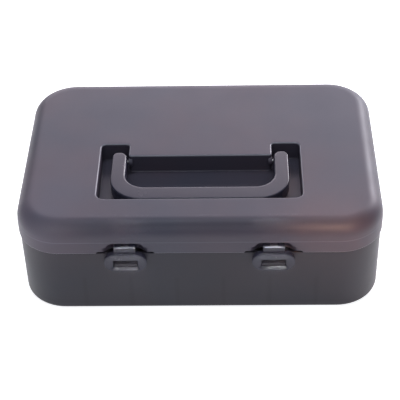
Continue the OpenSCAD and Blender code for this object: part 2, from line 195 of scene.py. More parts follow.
class Shape:
    """Points in millimetres and faces, which become one object."""

    def __init__(self):
        self.points = []
        self.faces = []

    def loop(self, points):
        """Adds a closed outline of points and returns their numbers."""
        start = len(self.points)
        self.points += [tuple(p) for p in points]
        return list(range(start, len(self.points)))

    def bridge(self, a, b):
        """Joins two loops of the same length by a strip of faces."""
        n = len(a)
        self.faces += [(a[k], a[(k + 1) % n], b[(k + 1) % n], b[k]) for k in range(n)]

    def skin(self, loops, closed=False):
        """Joins each loop to the next one, and the last to the first if closed."""
        for a, b in zip(loops, loops[1:]):
            self.bridge(a, b)
        if closed:
            self.bridge(loops[-1], loops[0])

    def fill(self, *loops):
        """Fills a flat outline, less the outlines inside it."""
        lines = [[Vector(self.points[k]) for k in loop] for loop in loops]
        index = [k for loop in loops for k in loop]
        self.faces += [tuple(index[k] for k in t) for t in geometry.tessellate_polygon(lines)]

    def prism(self, place, outline, low, high, r=0.4, n=3):
        """A solid with this section from low to high, its end edges rounded by r.

        place(u, v, w) turns a point of the section and a height into x, y, z.
        """
        steps = [(r - r * math.sin(a), r - r * math.cos(a))
                 for a in spread(0, math.pi / 2, n)]
        ends = [(low + up, into) for into, up in steps]
        ends += [(high - up, into) for into, up in reversed(steps)]
        loops = [self.loop(place(u, v, w) for u, v in (inset(outline, d) if d else outline))
                 for w, d in ends]
        self.skin(loops)
        self.fill(loops[0])
        self.fill(loops[-1])

    def build(self, name, material, body, node):
        """Makes the object, which rides on body and stands for the CAD node."""
        mesh = bpy.data.meshes.new(name)
        mesh.from_pydata([(x * MM, y * MM, z * MM) for x, y, z in self.points], [], self.faces)
        bm = bmesh.new()
        bm.from_mesh(mesh)
        bmesh.ops.remove_doubles(bm, verts=bm.verts, dist=1e-6)
        bmesh.ops.recalc_face_normals(bm, faces=bm.faces)
        bm.to_mesh(mesh)
        bm.free()
        mesh.shade_smooth()
        mesh.set_sharp_from_angle(angle=math.radians(38))
        mesh.materials.append(material)
        piece = bpy.data.objects.new(name, mesh)
        bpy.context.scene.collection.objects.link(piece)
        weighted = piece.modifiers.new("flat faces stay flat", "WEIGHTED_NORMAL")
        weighted.keep_sharp = True
        weighted.weight = 80
        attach(piece, body)
        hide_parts(node)


# how a prism lies: its section's u and v, and w along it

def along_x(u, v, w):
    return w, u, v


def along_z(u, v, w):
    return u, v, w


# ---------------------------------------------------------------- round the case

def stations(front_xs, back_xs):
    """Where sections stand round the case, anticlockwise from the front: x, y and the
    outward direction. A point at distance r from it lies on the outline of radius r."""
    found = [(x, -ARC_Y, 0.0, -1.0) for x in front_xs]
    side_ys = spread(-ARC_Y, ARC_Y, 10)[1:-1]
    corner_steps = 14
    for start, x, y, straight in (
            (-90, ARC_X, -ARC_Y, [(ARC_X, v, 1.0, 0.0) for v in side_ys]),
            (0, ARC_X, ARC_Y, [(v, ARC_Y, 0.0, 1.0) for v in reversed(back_xs)]),
            (90, -ARC_X, ARC_Y, [(-ARC_X, v, -1.0, 0.0) for v in reversed(side_ys)]),
            (180, -ARC_X, -ARC_Y, [])):
        found += [(x, y, dx, dy) for dx, dy in arc(0, 0, 1, start, start + 90, corner_steps)]
        found += straight
    return found


def front_columns():
    """Columns along the front, 1 mm apart across the latch pockets."""
    near = 26
    across = [LATCH_X + d for d in spread(-near, near, 2 * near)]
    middle = spread(-LATCH_X + near, LATCH_X - near, 10)[1:-1]
    outside = spread(LATCH_X + near, ARC_X, 4)[1:-1]
    right = across + outside
    return [-x for x in reversed(right)] + middle + right


def back_columns():
    """Columns along the back, with edges for the hinge knuckles."""
    edge = LID_KNUCKLE / 2
    far = edge + BASE_KNUCKLE + 2 * KNUCKLE_GAP
    near_hinge = [HINGE_X + s * d for s in (-1, 1) for d in (edge, edge + 0.2, far - 0.2, far)]
    right = sorted(near_hinge) + spread(HINGE_X + far, ARC_X, 5)[1:-1]
    middle = spread(-HINGE_X + far, HINGE_X - far, 10)[1:-1]
    return [-x for x in reversed(right)] + middle + right


AROUND = stations(front_columns(), back_columns())


def from_latch(x, y_out):
    """Distance along the front from the middle of the nearer latch, infinite elsewhere."""
    return abs(abs(x) - LATCH_X) if y_out < -0.999 else math.inf


def pocket_share(d, wide=0.0):
    """1 at the back of a latch pocket, 0 outside it, smooth on its sloping sides."""
    return ease((POCKET_HALF + wide - d) / (POCKET_HALF - POCKET_BACK_HALF))


def wrap(shape, section):
    """Sweeps a section round the case. section(station) gives its points as (radius, z)."""
    columns = [section(s) for s in AROUND]
    return [shape.loop((x + r * dx, y + r * dy, z)
                       for (x, y, dx, dy), (r, z) in zip(AROUND, row))
            for row in zip(*columns)]


def blended(plain, special, share):
    """A stretch of section part of the way from its plain form to a special one."""
    return [(mix(a[0], b[0], share), mix(a[1], b[1], share)) for a, b in zip(plain, special)]


# ---------------------------------------------------------------- materials

class Graph:
    """A new material's nodes, with short ways to add and join them."""

    def __init__(self, name):
        self.material = bpy.data.materials.new(name)
        self.material.use_nodes = True
        self.nodes = self.material.node_tree.nodes
        self.links = self.material.node_tree.links
        self.shader = self.nodes["Principled BSDF"]
        coordinates = self.nodes.new("ShaderNodeTexCoord")
        self.place = coordinates.outputs["Object"]
        self.facing = coordinates.outputs["Normal"]

    def feed(self, source, socket):
        """Links a node's output to a socket, or gives the socket a constant."""
        if isinstance(source, bpy.types.NodeSocket):
            self.links.new(source, socket)
        else:
            socket.default_value = source

    def noise(self, scale, detail=2.0, rough=0.5, stretch=None, turn=(0, 0, 0)):
        """Noise with this many waves to a metre. stretch multiplies them along turned axes."""
        made = self.nodes.new("ShaderNodeTexNoise")
        for socket, number in (("Scale", scale), ("Detail", detail), ("Roughness", rough)):
            made.inputs[socket].default_value = number
        source = self.place
        if stretch:
            mapping = self.nodes.new("ShaderNodeMapping")
            mapping.inputs["Scale"].default_value = stretch
            mapping.inputs["Rotation"].default_value = turn
            self.links.new(source, mapping.inputs["Vector"])
            source = mapping.outputs["Vector"]
        self.links.new(source, made.inputs["Vector"])
        return made.outputs["Fac"]

    def remap(self, value, low, high, to_low, to_high):
        """The value, with low to high stretched to the new range and held inside it."""
        made = self.nodes.new("ShaderNodeMapRange")
        for socket, number in (("From Min", low), ("From Max", high), ("To Min", to_low),
                               ("To Max", to_high)):
            made.inputs[socket].default_value = number
        self.links.new(value, made.inputs["Value"])
        return made.outputs["Result"]

    def combine(self, kind, a, b=0.0):
        """One operation on two numbers, such as ADD or MAXIMUM."""
        made = self.nodes.new("ShaderNodeMath")
        made.operation = kind
        self.feed(a, made.inputs[0])
        self.feed(b, made.inputs[1])
        return made.outputs["Value"]

    def product(self, first, *others):
        """All the numbers multiplied."""
        for other in others:
            first = self.combine("MULTIPLY", first, other)
        return first

    def away(self, value, middle=0.0):
        """How far a number is from middle, on either side."""
        return self.combine("ABSOLUTE", self.combine("SUBTRACT", value, middle))

    def blend(self, kind, share, a, b):
        """Two colours mixed or multiplied."""
        made = self.nodes.new("ShaderNodeMix")
        made.data_type = "RGBA"
        made.blend_type = kind
        for socket, source in (("Factor", share), ("A", a), ("B", b)):
            self.feed(source, made.inputs[socket])
        return made.outputs["Result"]

    def xyz(self, vector):
        """A vector's three numbers."""
        made = self.nodes.new("ShaderNodeSeparateXYZ")
        self.links.new(vector, made.inputs["Vector"])
        return made.outputs["X"], made.outputs["Y"], made.outputs["Z"]


def moulded(name, colour, warm, roughness, wear=0.14, clouds=0.5, ribs=False, lips=False):
    """Satin moulded plastic: clouded colour, fine grain, faint rubs, paler edges and, on the lid,
    painted highlight lines.
    """
    graph = Graph(name)
    shader = graph.shader
    shader.inputs["IOR"].default_value = 1.49
    shader.inputs["Specular IOR Level"].default_value = 0.32

    # colour: broad warm and cool clouds, then fine speckle
    broad = graph.remap(graph.noise(11, 3, 0.5), 0.35, 0.65, 0, clouds)
    tint = graph.blend("MIX", broad, (*colour, 1), (*warm, 1))
    speckle = graph.remap(graph.noise(900, 2, 0.6), 0.3, 0.7, 0, 0.1)
    tint = graph.blend("MIX", speckle, tint, (*(c * 1.5 for c in colour), 1))
    # edges rubbed paler, in patches
    pointed = graph.nodes.new("ShaderNodeNewGeometry").outputs["Pointiness"]
    edge = graph.remap(pointed, 0.55, 0.66, 0, wear)
    patches = graph.remap(graph.noise(60, 4, 0.6), 0.3, 0.6, 0.2, 1)
    worn = graph.product(edge, patches)
    tint = graph.blend("MIX", worn, tint, (*(mix(c, 0.5, 0.3) for c in colour), 1))
    if ribs:
        tint = graph.blend("MULTIPLY", rib_shadow(graph), tint, (0.7, 0.69, 0.7, 1))
    # painted highlights: pale lines on the recess's lip, the lid's ledge and its lower edge
    if lips:
        lip_highlight = painted_lip_highlights(graph)
        tint = graph.blend("MIX", lip_highlight, tint, (0.2, 0.2, 0.23, 1))
    graph.feed(tint, shader.inputs["Base Color"])

    # gloss: cloudy, with long faint rubs, and smoother along the painted highlight lines
    cloud = graph.remap(graph.noise(35, 5, 0.6), 0.3, 0.7, roughness - 0.035, roughness + 0.035)
    streaks = graph.noise(40, 3, 0.55, stretch=(1, 22, 9), turn=(0.3, 0.2, 0.7))
    gloss = graph.combine("ADD", cloud, graph.remap(streaks, 0.62, 0.8, 0, wear * 0.4))
    if lips:
        gloss = graph.combine("SUBTRACT", gloss, graph.product(lip_highlight, 0.2))
    graph.feed(gloss, shader.inputs["Roughness"])

    # grain of the mould
    bump = graph.nodes.new("ShaderNodeBump")
    bump.inputs["Strength"].default_value = 0.05
    bump.inputs["Distance"].default_value = 0.0001
    fine, coarse = graph.noise(2600, 3, 0.6), graph.noise(300, 2, 0.5)
    graph.feed(graph.combine("ADD", fine, graph.product(coarse, 0.6)), bump.inputs["Height"])
    graph.feed(bump.outputs["Normal"], shader.inputs["Normal"])
    return graph.material


def rib_shadow(graph):
    """Where the ribs inside the base show faintly through its front and back walls."""
    x, y, z = graph.xyz(graph.place)
    pitch, half, strength = RIB_PITCH * MM, RIB_PITCH / 2 * MM, 0.55
    outermost = 2.5 * RIB_PITCH + 8
    # shifted so that it is positive and the ribs come at whole multiples of the pitch
    shifted = graph.combine("ADD", x, 10.5 * pitch)
    from_gap = graph.away(graph.combine("MODULO", shifted, pitch), half)
    on_rib = graph.remap(from_gap, half - 2.6 * MM, half - 0.8 * MM, 0, strength)
    below_top = graph.remap(z, RIB_TOP * MM, (RIB_TOP - 4) * MM, 0, 1)
    on_flat = graph.remap(graph.away(x), outermost * MM, (outermost - 4) * MM, 0, 1)
    on_wall = graph.remap(graph.away(y), 90 * MM, 94 * MM, 0, 1)
    return graph.product(on_rib, below_top, on_flat, on_wall)


def painted_lip_highlights(graph):
    """Painted highlights: pale lines painted on the lid's recess lip, its ledge and its lower
    edge.
    """
    x, y, z = graph.xyz(graph.place)
    _, _, up = graph.xyz(graph.facing)
    # the lip's painted highlight: faces that turn from the top into the recess, close to its
    # outline
    turned = graph.product(graph.remap(up, 0.995, 0.95, 0, 1), graph.remap(up, 0.2, 0.45, 0, 1))
    high = graph.remap(z, (TOP - 3) * MM, (TOP - 2) * MM, 0, 1)
    across = graph.remap(graph.away(x), (RECESS_X + 4.5) * MM, (RECESS_X + 2.5) * MM, 0, 0.75)
    middle, reach = (RECESS_FRONT + RECESS_BACK) / 2, (RECESS_BACK - RECESS_FRONT) / 2
    along = graph.remap(graph.away(y, middle * MM), (reach + 5.5) * MM, (reach + 3.5) * MM, 0, 1)
    lip = graph.product(turned, high, across, along)
    # painted highlight lines along the lid's lower edge and along its ledge
    edge = graph.remap(z, (LID_Z + 0.9) * MM, (LID_Z + 0.5) * MM, 0, 0.35)
    ledge = graph.remap(graph.away(z, LEDGE_Z * MM), 0.6 * MM, 0.2 * MM, 0, 0.2)
    return graph.combine("MAXIMUM", lip, graph.combine("MAXIMUM", edge, ledge))


def drawn_steel(name):
    """Drawn steel wire: fine lines along the pin and slight tarnish."""
    graph = Graph(name)
    graph.shader.inputs["Metallic"].default_value = 1.0
    lines = graph.noise(6000, stretch=(0.05, 1, 1))
    tint = graph.blend("MIX", graph.noise(400), (0.2, 0.195, 0.19, 1), (0.38, 0.38, 0.39, 1))
    graph.feed(tint, graph.shader.inputs["Base Color"])
    graph.feed(graph.remap(lines, 0, 1, 0.35, 0.5), graph.shader.inputs["Roughness"])
    return graph.material


# ---------------------------------------------------------------- lid

FLAT_R = CORNER_R - BAND_STEP - TOP_EDGE_R       # where the lid's top turns flat
EDGE_Z = TOP - TOP_EDGE_R


def knuckle_room(x, y_out, z):
    """How far the lid's rear wall steps in behind a base knuckle."""
    d = abs(abs(x) - HINGE_X)
    edge = LID_KNUCKLE / 2
    inside = edge + 0.1 < d < edge + BASE_KNUCKLE + 2 * KNUCKLE_GAP - 0.1
    return 0.5 if y_out > 0.999 and inside and z < HINGE.z + KNUCKLE_R + 0.6 else 0.0


def lid_section(station):
    """The lid's section: up the inside, and from the lower edge up the outside to the top."""
    x, _, _, y_out = station
    d = from_latch(x, y_out)
    share, liner_share = pocket_share(d), pocket_share(d, WALL)
    low = LID_Z + SLIT_RISE * ease((SLIT_HALF + 0.6 - d) / 1.2)
    inner = CORNER_R - BAND_STEP - WALL
    inner_edge = TOP_EDGE_R - WALL
    path = [(FLAT_R - GUARD, TOP - WALL)] + arc(FLAT_R, EDGE_Z, inner_edge, 90, 0, 8)
    plain = [(inner, z) for z in spread(EDGE_Z, low + 0.4, 8)[1:]]
    behind = CORNER_R - POCKET_DEPTH - WALL
    liner = [(inner, EDGE_Z - 0.3), (inner - 3, POCKET_TOP + WALL + 0.4),
             (behind + 1, POCKET_TOP + WALL), (behind, POCKET_TOP + WALL - 1)]
    liner += [(behind, z) for z in (70, 67, 64, LID_Z + 0.4)]
    path += blended(plain, liner, liner_share)

    # the skirt band, and the same points bent into a latch pocket with an arched top
    back = CORNER_R - POCKET_DEPTH
    bend = min(max(d - POCKET_BACK_HALF, 0), 0.9 * POCKET_ARCH_R)
    top = POCKET_TOP - 0.3 - POCKET_ARCH_R + math.sqrt(POCKET_ARCH_R ** 2 - bend ** 2)
    pocket = [(behind + 0.3, LID_Z), (back - 0.6, LID_Z)]
    pocket += arc(back - 0.5, LID_Z + 0.5, 0.5, -90, 0, 3)
    pocket += [(back, mix(LID_Z + 0.5, top - 1, t)) for t in spread(0, 1, 5)[1:]]
    pocket += arc(back + 1, top - 1, 1, 180, 90, 3)[1:] + [(back + 3.5, top)]
    pocket += arc(CORNER_R - 0.3, top + 0.3, 0.3, -90, 0, 3)
    band = [(inner + 0.3, low), (CORNER_R - 1.4, low)]
    band += arc(CORNER_R - 0.6, low + 0.6, 0.6, -90, 0, 3)
    band += [(CORNER_R, z) for z in spread(low + 0.6, top + 0.3, len(pocket) - len(band))[1:]]
    path += blended(band, pocket, share)

    path += [(CORNER_R, LEDGE_Z - 0.5), (CORNER_R - 0.12, LEDGE_Z)]
    path += [(CORNER_R - BAND_STEP, LEDGE_Z + 0.5)]
    path += arc(FLAT_R, EDGE_Z, TOP_EDGE_R, 0, 90, 18) + [(FLAT_R - GUARD, TOP)]
    return [(r - knuckle_room(x, y_out, z) * (r > inner + 0.5), z) for r, z in path]


def recess_loop(shape, grow, z):
    """The recess's outline at height z, grown outwards."""
    outline = filleted(RECESS_POINTS, RECESS_RADII, grow, n=8)
    return shape.loop((x, y, z) for x, y in outline)


def lid_piece():
    """The lid's shell round the handle recess, with its lugs, pads and hinge knuckles."""
    shape = Shape()
    rows = wrap(shape, lid_section)
    shape.skin(rows)
    # the recess: from the top over its lip, down the wall and round its foot to the floor
    lip, foot = 1.3, 0.8
    walls = [(lip + GUARD, TOP)]
    walls += [(lip - u, TOP - lip + v) for u, v in arc(0, 0, lip, 90, 0, 6)]
    walls += [(-u, RECESS_Z + v) for u, v in arc(foot, foot, foot, 180, 270, 5)]
    walls += [(-foot - GUARD, RECESS_Z)]
    upper = [recess_loop(shape, grow, z) for grow, z in walls]
    shape.skin(upper)
    shape.fill(rows[-1], upper[0])
    shape.fill(upper[-1])
    # the same inside the lid
    under = [(WALL + 1, TOP - WALL), (WALL, TOP - WALL - 1), (WALL, RECESS_Z - 1),
             (WALL - 1, RECESS_Z - 2)]
    lower = [recess_loop(shape, grow, z) for grow, z in under]
    shape.skin(lower)
    shape.fill(rows[0], lower[0])
    shape.fill(lower[-1])
    handle_lugs(shape)
    handle_pads(shape)
    for s in (-1, 1):
        latch_lug(shape, s * LATCH_X)
        lid_knuckle(shape, s * HINGE_X)
    shape.build("lid_shell", LID_PLASTIC, "lid", "lid")


def handle_lugs(shape):
    """Bosses for the handle's pins, in the corners between the recess's middle and ears."""
    width, r = 3.5, 3.6
    outline = arc(HANDLE_PIVOT.y, HANDLE_PIVOT.z, r, 0, 360, 28)[:-1]
    end = EAR_X + 0.4
    for low in (end - width, -end):
        shape.prism(along_x, outline, low, low + width, 0.7)


def handle_pads(shape):
    """Two pads under the grip that the handle rests on."""
    pad_x, half_w, half_d = 36.0, 6.0, 4.0
    y = HANDLE_LOW.y + GRIP_W / 2
    for x in (-pad_x, pad_x):
        outline = filleted(rectangle(x - half_w, x + half_w, y - half_d, y + half_d), [1.5] * 4)
        shape.prism(along_z, outline, RECESS_Z - 0.5, HANDLE_LOW.z - 0.1)


def latch_lug(shape, x):
    """The lug that holds the latch's pin, hidden behind the neck: round at the pin."""
    y, z, r, half = LATCH_PIVOT.y, LATCH_PIVOT.z, 1.8, 2.5
    reach = FRONT + POCKET_DEPTH + 0.6
    outline = arc(y, z, r, 90, 270, 14) + [(reach, z - r), (reach, z + r)]
    shape.prism(along_x, outline, x - half, x + half, 0.3)


def lid_knuckle(shape, x):
    """The middle knuckle of a hinge, on the lid's rear wall."""
    y, z = HINGE.y, HINGE.z
    wall = -FRONT - 0.6
    half = LID_KNUCKLE / 2
    outline = arc(y, z, KNUCKLE_R, -200, 35, 22)
    outline += [(wall, LID_Z + 11), (wall, LID_Z + 0.3)]
    shape.prism(along_x, outline, x - half, x + half, 0.5)


# ---------------------------------------------------------------- base

def base_section(station):
    """The base's section: up the inside, over the rim and its tongue, down the outside."""
    x, _, _, y_out = station
    inner = BASE_R - WALL
    tongue = CORNER_R - BAND_STEP - WALL - 0.3
    path = [(inner - 2.1 - GUARD, FLOOR)] + arc(inner - 2.1, FLOOR + 2.1, 2.1, -90, 0, 5)
    path += [(inner, z) for z in (20, 38)]
    with_tongue = [(inner, RIM_Z - 5), (tongue - 1.6, RIM_Z - 3.5), (tongue - 1.6, RIM_Z + 2.4),
                   (tongue - 1.3, RIM_Z + 2.9), (tongue - 0.9, RIM_Z + 3),
                   (tongue - 0.3, RIM_Z + 2.8), (tongue, RIM_Z + 2.3), (tongue, RIM_Z + 0.3),
                   (tongue + 0.2, RIM_Z)]
    without = [(inner, RIM_Z - 5), (inner, RIM_Z - 3.5), (inner, RIM_Z - 0.3),
               (inner + 0.1, RIM_Z - 0.1), (inner + 0.2, RIM_Z), (inner + 0.35, RIM_Z),
               (inner + 0.5, RIM_Z), (inner + 0.65, RIM_Z), (tongue + 0.2, RIM_Z)]
    path += without if from_latch(x, y_out) < SLIT_HALF + 3.2 else with_tongue
    path += [(BASE_R - 1.4, RIM_Z)] + arc(BASE_R - 0.6, RIM_Z - 0.6, 0.6, 90, 0, 4)
    path += [(BASE_R, z) for z in (52, 44, RIB_TOP, 28, 16, 8)]
    path += arc(BASE_R - 4.5, 4.5, 4.5, 0, -90, 8)
    path += [(BASE_R - 15, 0), (BASE_R - 15.7, 0.7), (BASE_R - 15.7 - GUARD, 0.7)]
    return path


def base_piece():
    """The base's shell with its ribs, catch teeth and hinge knuckles."""
    shape = Shape()
    rows = wrap(shape, base_section)
    shape.skin(rows)
    shape.fill(rows[0])
    shape.fill(rows[-1])
    guide_ribs(shape)
    for s in (-1, 1):
        catch_tooth(shape, s * LATCH_X)
        base_knuckles(shape, s * HINGE_X)
    shape.build("base_shell", BASE_PLASTIC, "base", "base")


def guide_ribs(shape):
    """Pairs of ribs that hold a divider between them and carry the tray on top."""
    wall_y, wall_x = ARC_Y + BASE_R - WALL, ARC_X + BASE_R - WALL
    reach, half, into_wall = 4.2, 0.6, 0.3

    def rib(u0, u1, v0, v1):
        outline = filleted(rectangle(u0, u1, v0, v1), [0.3] * 4, n=3)
        shape.prism(along_z, outline, FLOOR - into_wall, RIB_TOP, 0.25)

    for k in range(6):
        for side in (-1, 1):
            x = (k - 2.5) * RIB_PITCH + side * (SLOT / 2 + half)
            for s in (-1, 1):
                rib(x - half, x + half, *sorted((s * (wall_y + into_wall), s * (wall_y - reach))))
    for y in (-SIDE_RIB_Y, SIDE_RIB_Y):
        for s in (-1, 1):
            rib(*sorted((s * (wall_x + into_wall), s * (wall_x - reach))), y - half, y + half)


def catch_tooth(shape, x):
    """The tooth that the latch's window snaps over."""
    face, low = FRONT + 1, WINDOW_Z - WINDOW_HALF_H + 0.1
    points = [(face + 0.6, low), (face + 0.6, low + 4.4), (face - 1.2, low + 3.9),
              (face - 3.8, low + 2.3), (face - 3.8, low + 0.4), (face - 3.4, low)]
    outline = filleted(points, [0.1, 0.1, 0.8, 0.5, 0.2, 0.2])
    shape.prism(along_x, outline, x - 9, x + 9, 0.5)


def base_knuckles(shape, x):
    """The two outer knuckles of a hinge, on the base's rear wall."""
    y, z = HINGE.y, HINGE.z
    wall = -FRONT - 1.6
    outline = arc(y, z, KNUCKLE_R, -35, 200, 22)
    outline += [(wall, RIM_Z - 0.5), (wall, RIM_Z - 13)]
    start = LID_KNUCKLE / 2 + KNUCKLE_GAP
    for low in (x + start, x - start - BASE_KNUCKLE):
        shape.prism(along_x, outline, low, low + BASE_KNUCKLE, 0.5)


# ---------------------------------------------------------------- handle

def handle_piece():
    """A flat bail: a grip bar with an arm at each end, round in plan and below its pins."""
    half_w = HANDLE_HIGH.x
    front, top, low = HANDLE_LOW.y - 0.5, HANDLE_HIGH.z, HANDLE_LOW.z
    middle, half_t = (top + low) / 2, (top - low) / 2
    out_r, in_r = 25.0, 16.0
    out_c = (half_w - out_r, front + out_r)
    in_c = (half_w - ARM_W - in_r, HANDLE_LOW.y + GRIP_W + in_r)
    pivot_y, end_r, plan_r, edge_r = HANDLE_PIVOT.y, half_t - 0.5, 5.5, 1.5
    deep_y = pivot_y - 8                 # from here on the arm has its whole thickness

    def upper(y):
        """How far the top is above the middle: it rounds off just before the arm's end."""
        past = max(edge_r - (pivot_y + end_r - y), 0)
        return half_t - edge_r + math.sqrt(edge_r ** 2 - past ** 2)

    # places along one half, from the arm's end to the middle: outer point, inner point
    # and how far the underside is below the middle
    places = []
    for a in spread(80, 0, 12):
        y = pivot_y + end_r * math.sin(math.radians(a))
        past = max(y - (pivot_y + end_r - plan_r), 0)
        narrow = plan_r - math.sqrt(plan_r ** 2 - past ** 2)
        places.append(((half_w - narrow, y), (half_w - ARM_W + narrow, y),
                       end_r * math.cos(math.radians(a))))
    for t in spread(0, 1, 4)[1:]:
        y = mix(pivot_y, deep_y, t)
        places.append(((half_w, y), (half_w - ARM_W, y), mix(end_r, half_t, ease(t))))
    for t in spread(0, 1, 3)[1:-1]:
        places.append(((half_w, mix(deep_y, out_c[1], t)),
                       (half_w - ARM_W, mix(deep_y, in_c[1], t)), half_t))
    for a in spread(0, 90, 24):
        c, s = math.cos(math.radians(a)), math.sin(math.radians(a))
        places.append(((out_c[0] + out_r * c, out_c[1] - out_r * s),
                       (in_c[0] + in_r * c, in_c[1] - in_r * s), half_t))
    for t in spread(0, 1, 6)[1:]:
        places.append(((mix(out_c[0], 0, t), front), (mix(in_c[0], 0, t), in_c[1] - in_r), half_t))
    mirrored = [((-o[0], o[1]), (-i[0], i[1]), h) for o, i, h in reversed(places[:-1])]

    shape = Shape()
    loops = []
    for outer, inner, half in places + mirrored:
        o, i = Vector(outer), Vector(inner)
        width, across = (i - o).length, (i - o).normalized()
        rise = upper(o.y)
        box = rectangle(0, width, -half, rise)
        limit = min(width, half + rise) * 0.45
        section = filleted(box, [min(r, limit) for r in (1.5, 2.2, 2.8, 1.1)], n=6)
        loops.append(shape.loop((o.x + across.x * u, o.y + across.y * u, middle + v)
                                for u, v in section))
    shape.skin(loops)
    shape.fill(loops[0])
    shape.fill(loops[-1])
    shape.build("handle_bail", FITTING_PLASTIC, "handle", "handle")


# ---------------------------------------------------------------- latches

def latch_piece(side):
    """A thick stadium plate with a window in a sloping funnel, hung from a neck."""
    cx = side * LATCH_X
    half_w = (LATCH_HIGH.x - LATCH_LOW.x) / 2
    half_h = PLATE_H / 2
    cz = LATCH_LOW.z + half_h
    front, back = LATCH_LOW.y, FRONT - 0.3
    flat = half_w - half_h
    n_straight, n_round = 10, 24

    def stadium(d):
        r = half_h - d
        points = [(x, -r) for x in spread(-flat, flat, n_straight)[:-1]]
        points += arc(flat, 0, r, -90, 90, n_round)[:-1]
        points += [(x, r) for x in spread(flat, -flat, n_straight)[:-1]]
        return points + arc(-flat, 0, r, 90, 270, n_round)[:-1]

    def window(d):
        w, h, r, turn = WINDOW_HALF_W + d, WINDOW_HALF_H + d, 0.4, 4
        lift = WINDOW_Z - cz
        side_n = n_round - 2 * turn
        right = arc(w - r, -h + r, r, -90, 0, turn)[:-1]
        right += [(w, z) for z in spread(-h + r, h - r, side_n)[:-1]]
        right += arc(w - r, h - r, r, 0, 90, turn)[:-1]
        bottom = [(x, -h) for x in spread(-w + r, w - r, n_straight)[:-1]]
        half = bottom + right
        return [(x, z + lift) for x, z in half + [(-x, -z) for x, z in half]]

    # from the back over the rim to the front, down the funnel and out through the window
    rows = [(stadium(0.4), back), (stadium(0.1), back - 0.1), (stadium(0), back - 0.4)]
    rows += [(stadium(0.7 - u), front + 0.7 - v) for u, v in arc(0, 0, 0.7, 0, 90, 5)]
    rows += [(stadium(1.5), front), (stadium(1.75), front + 0.12)]
    rows += [(window(0.25), front + 1.6), (window(0.08), front + 1.75), (window(0), front + 2.0)]
    rows += [(window(0), back - 0.4), (window(0.3), back)]
    shape = Shape()
    loops = [shape.loop((cx + x, y, cz + z) for x, z in outline) for outline, y in rows]
    shape.skin(loops, closed=True)

    # the neck: a front wall over a tight bend, and a barrel on each side of the lid's lug
    neck_front, neck_top = front + 2, LATCH_HIGH.z
    py, pz = LATCH_PIVOT.y, LATCH_PIVOT.z
    wall_back = front + 4.1
    wall = [(wall_back, cz + 4.5), (wall_back, neck_top), (neck_front + 2.2, neck_top)]
    wall += [(neck_front + 2.05, neck_top - 0.03), (neck_front + 0.4, neck_top - 0.63)]
    wall += [(neck_front + 0.27, neck_top - 0.7), (neck_front + 0.08, neck_top - 0.95)]
    wall += [(neck_front, neck_top - 1.3), (neck_front, cz + 4.5)]
    shape.prism(along_x, wall, cx - NECK_W / 2, cx + NECK_W / 2, 0.3)
    barrel = [(back, cz + half_h - 1.5), (py + 0.2, pz - 2.7)]
    barrel += arc(py, pz, neck_top - pz, -60, 90, 12)
    barrel += [(wall_back - 0.6, neck_top), (wall_back - 0.6, cz + half_h - 1.5)]
    for s in (-1, 1):
        x0, x1 = sorted((s * 2.8, s * (NECK_W / 2 - 0.02)))
        shape.prism(along_x, barrel, cx + x0, cx + x1, 0.3)
    name = "left" if side < 0 else "right"
    shape.build("latch_plate_" + name, FITTING_PLASTIC, "latch_" + name, "latch_" + name)


# ---------------------------------------------------------------- tray and dividers

PARTITION_Y = 12.0                   # the long wall
TRAY_WALL = 1.8
TRAY_R = TRAY_HIGH.x - ARC_X
TRAY_TOP = TRAY_LOW.z + 18.0
TRAY_SLOTS = (-110, -80, -50, 50, 80, 110)


def tray_section(_station):
    """The tray's section, the same all round: up the outside, over the rim, down the inside."""
    inner = TRAY_R - TRAY_WALL
    z, top = TRAY_LOW.z, TRAY_TOP
    path = [(TRAY_R - 3 - GUARD, z)] + arc(TRAY_R - 3, z + 3, 3, -90, 0, 6)
    path += [(TRAY_R, top - 2.2), (TRAY_R + 0.35, top - 1.8), (TRAY_R + 0.4, top - 0.6)]
    path += [(TRAY_R + 0.15, top - 0.15), (TRAY_R - 0.3, top), (inner + 0.4, top)]
    path += [(inner + 0.1, top - 0.15), (inner, top - 0.5), (inner, z + TRAY_WALL + 6)]
    path += arc(inner - 2.5, z + TRAY_WALL + 2.5, 2.5, 0, -90, 5)
    return path + [(inner - 2.5 - GUARD, z + TRAY_WALL)]


def tray_piece():
    """The tray with its long wall, grip and slots for dividers."""
    shape = Shape()
    rows = wrap(shape, tray_section)
    shape.skin(rows)
    shape.fill(rows[0])
    shape.fill(rows[-1])
    floor = TRAY_LOW.z + TRAY_WALL
    half_x = ARC_X + TRAY_R - TRAY_WALL + 0.3
    tray_partition(shape, floor, half_x)
    back, half = ARC_Y + TRAY_R - TRAY_WALL, 0.6
    for x in TRAY_SLOTS:
        for side in (-1, 1):
            at = x + side * (SLOT / 2 + half)
            for y0, y1 in ((PARTITION_Y + 0.7, PARTITION_Y + 3), (back - 2, back + 0.3)):
                outline = filleted(rectangle(at - half, at + half, y0, y1), [0.3] * 4, n=3)
                shape.prism(along_z, outline, floor - 0.3, TRAY_TOP - 2, 0.25)
    shape.build("tray_body", TRAY_PLASTIC, "tray", "tray")


